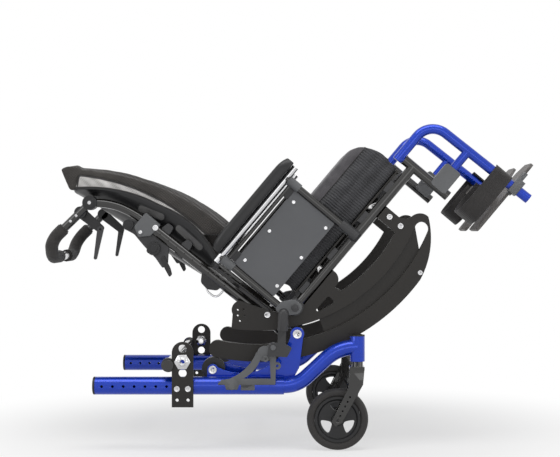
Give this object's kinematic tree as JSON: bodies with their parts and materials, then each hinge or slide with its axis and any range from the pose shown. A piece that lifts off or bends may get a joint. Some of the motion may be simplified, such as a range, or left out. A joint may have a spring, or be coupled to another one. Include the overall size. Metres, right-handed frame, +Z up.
{
  "type": "tilt in space wheelchair frame",
  "caption": "Tilt-in-space wheelchair: curved rockers roll on a blue base, carrying seat, back, arms, push bar and legrests; rear axle receivers are open.",
  "frame": {"origin": "on the floor, under the middle of the whole chair's length and width", "axes": "+X forwards, +Y to the occupant's left, +Z up; the seat is at its full rearward tilt"},
  "size_m": [1.251, 0.6538, 0.8122],
  "materials": {
    "frame_blue": "glossy clear-coated blue powder coat",
    "frame_black": "satin black powder coat",
    "casting_grey": "satin grey painted casting",
    "casting_dark": "dark grey satin casting",
    "bright_steel": "bright zinc and chrome fasteners",
    "roller": "hard black nylon",
    "tyre": "solid rubber tyre",
    "hub": "black moulded wheel",
    "cap": "black moulded plug",
    "panel_grey": "grey moulded sheet",
    "arm_pad": "soft-touch black urethane",
    "cushion": "black stretch mesh over foam",
    "back_mesh": "black spacer mesh over foam",
    "shell": "black moulded shell",
    "foam_grip": "black foam",
    "footplate": "grained warm grey plastic",
    "webbing": "black woven strap",
    "pan": "black aluminium sheet"
  },
  "bodies": {
    "base": {"base_tube_left": "frame_blue", "base_tube_right": "frame_blue", "front_tube_left": "frame_blue", "front_tube_right": "frame_blue", "tube_caps": "cap", "roller_bracket_left": "frame_blue", "roller_bracket_right": "frame_blue", "base_cross_tube": "frame_black", "rear_cross_tube": "frame_black", "axle_plates": "frame_black", "axle_receivers": "bright_steel", "base_bolts": "bright_steel", "lock_bracket_left": "casting_grey", "lock_bracket_right": "casting_grey"},
    "seat": {"rocker_left": "frame_black", "rocker_right": "frame_black", "rocker_bolts": "bright_steel", "seat_frame": "frame_black", "legrest_posts": "frame_black", "rail_clamps": "casting_dark", "seat_pan": "pan", "seat_cushion": "cushion", "arm_sockets": "casting_dark"},
    "back": {"back_canes": "frame_black", "back_castings": "casting_dark", "back_hardware": "casting_dark", "back_cushion": "back_mesh", "back_shell": "shell"},
    "push_bar_unit": {"push_bar": "bright_steel", "push_castings": "casting_grey", "push_grips": "foam_grip"},
    "front_roller_left_unit": {"front_roller_left": "roller"},
    "rear_roller_left_unit": {"rear_roller_left": "roller"},
    "caster_left": {"caster_fork_left": "frame_black"},
    "caster_wheel_left": {"caster_hub_left": "hub", "caster_tyre_left": "tyre"},
    "lock_left": {"lock_lever_left": "casting_dark"},
    "arm_left": {"arm_frame_left": "frame_black", "arm_pad_left": "arm_pad", "side_panel_left": "panel_grey"},
    "trigger_left": {"tilt_lever_left": "casting_dark"},
    "legrest_left": {"hanger_left": "frame_blue", "legrest_castings_left": "casting_grey"},
    "foot_left": {"footplate_left": "footplate", "heel_strap_left": "webbing"},
    "front_roller_right_unit": {"front_roller_right": "roller"},
    "rear_roller_right_unit": {"rear_roller_right": "roller"},
    "caster_right": {"caster_fork_right": "frame_black"},
    "caster_wheel_right": {"caster_hub_right": "hub", "caster_tyre_right": "tyre"},
    "lock_right": {"lock_lever_right": "casting_dark"},
    "arm_right": {"arm_frame_right": "frame_black", "arm_pad_right": "arm_pad", "side_panel_right": "panel_grey"},
    "trigger_right": {"tilt_lever_right": "casting_dark"},
    "legrest_right": {"hanger_right": "frame_blue", "legrest_castings_right": "casting_grey"},
    "foot_right": {"footplate_right": "footplate", "heel_strap_right": "webbing"}
  },
  "joints": [
    {"name": "tilt", "type": "hinge", "parent": "base", "child": "seat", "pos_m": [-0.07559, 0, 0.7208], "axis": [0, 1, 0], "range_deg": [0, 54]},
    {"name": "back_recline", "type": "hinge", "parent": "seat", "child": "back", "pos_m": [-0.0522, 0, 0.33174], "axis": [0, -1, 0], "range_deg": [-10, 30]},
    {"name": "push_bar_angle", "type": "hinge", "parent": "back", "child": "push_bar_unit", "pos_m": [-0.50348, 0, 0.6138], "axis": [0, 1, 0], "range_deg": [-40, 55]},
    {"name": "front_roller_left_spin", "type": "hinge", "parent": "base", "child": "front_roller_left_unit", "pos_m": [0.02295, 0.242, 0.28531], "axis": [0, 1, 0], "continuous": true},
    {"name": "rear_roller_left_spin", "type": "hinge", "parent": "base", "child": "rear_roller_left_unit", "pos_m": [-0.18803, 0.224, 0.19632], "axis": [0, 1, 0], "continuous": true},
    {"name": "caster_left_swivel", "type": "hinge", "parent": "base", "child": "caster_left", "pos_m": [0.17211, 0.28, 0.2198], "axis": [0, 0, 1], "continuous": true},
    {"name": "caster_left_roll", "type": "hinge", "parent": "caster_left", "child": "caster_wheel_left", "pos_m": [0.1228, 0.28, 0.0762], "axis": [0, 1, 0], "continuous": true},
    {"name": "wheel_lock_left", "type": "hinge", "parent": "base", "child": "lock_left", "pos_m": [-0.03599, 0.30242, 0.2568], "axis": [0, 1, 0], "range_deg": [0, 50]},
    {"name": "arm_left_flip", "type": "hinge", "parent": "seat", "child": "arm_left", "pos_m": [0.01713, 0.251, 0.35058], "axis": [0, -1, 0], "range_deg": [0, 65]},
    {"name": "trigger_left_squeeze", "type": "hinge", "parent": "push_bar_unit", "child": "trigger_left", "pos_m": [-0.47771, 0.196, 0.5465], "axis": [0, 1, 0], "range_deg": [0, 14], "stiffness_Nm_per_rad": 0.5, "springref_deg": -11.46},
    {"name": "legrest_left_swing", "type": "hinge", "parent": "seat", "child": "legrest_left", "pos_m": [0.29418, 0.224, 0.72121], "axis": [0.766, 0, -0.6428], "range_deg": [-90, 0]},
    {"name": "footplate_left_flip", "type": "hinge", "parent": "legrest_left", "child": "foot_left", "pos_m": [0.5579, 0.201, 0.63568], "axis": [-0.6428, 0, -0.766], "range_deg": [0, 90], "deforming": ["heel_strap_left"]},
    {"name": "front_roller_right_spin", "type": "hinge", "parent": "base", "child": "front_roller_right_unit", "pos_m": [0.02295, -0.242, 0.28531], "axis": [0, 1, 0], "continuous": true},
    {"name": "rear_roller_right_spin", "type": "hinge", "parent": "base", "child": "rear_roller_right_unit", "pos_m": [-0.18803, -0.224, 0.19632], "axis": [0, 1, 0], "continuous": true},
    {"name": "caster_right_swivel", "type": "hinge", "parent": "base", "child": "caster_right", "pos_m": [0.17211, -0.28, 0.2198], "axis": [0, 0, 1], "continuous": true},
    {"name": "caster_right_roll", "type": "hinge", "parent": "caster_right", "child": "caster_wheel_right", "pos_m": [0.1228, -0.28, 0.0762], "axis": [0, 1, 0], "continuous": true},
    {"name": "wheel_lock_right", "type": "hinge", "parent": "base", "child": "lock_right", "pos_m": [-0.03599, -0.30242, 0.2568], "axis": [0, 1, 0], "range_deg": [0, 50]},
    {"name": "arm_right_flip", "type": "hinge", "parent": "seat", "child": "arm_right", "pos_m": [0.01713, -0.251, 0.35058], "axis": [0, -1, 0], "range_deg": [0, 65]},
    {"name": "trigger_right_squeeze", "type": "hinge", "parent": "push_bar_unit", "child": "trigger_right", "pos_m": [-0.47771, -0.196, 0.5465], "axis": [0, 1, 0], "range_deg": [0, 14], "stiffness_Nm_per_rad": 0.5, "springref_deg": -11.46},
    {"name": "legrest_right_swing", "type": "hinge", "parent": "seat", "child": "legrest_right", "pos_m": [0.29418, -0.224, 0.72121], "axis": [-0.766, 0, 0.6428], "range_deg": [-90, 0]},
    {"name": "footplate_right_flip", "type": "hinge", "parent": "legrest_right", "child": "foot_right", "pos_m": [0.5579, -0.201, 0.63568], "axis": [0.6428, 0, 0.766], "range_deg": [0, 90], "deforming": ["heel_strap_right"]}
  ],
  "couplings": [
    {"joint": "front_roller_left_spin", "follows": "tilt", "ratio": -25.088},
    {"joint": "rear_roller_left_spin", "follows": "tilt", "ratio": -17.483},
    {"joint": "front_roller_right_spin", "follows": "tilt", "ratio": -25.088},
    {"joint": "rear_roller_right_spin", "follows": "tilt", "ratio": -17.483}
  ]
}
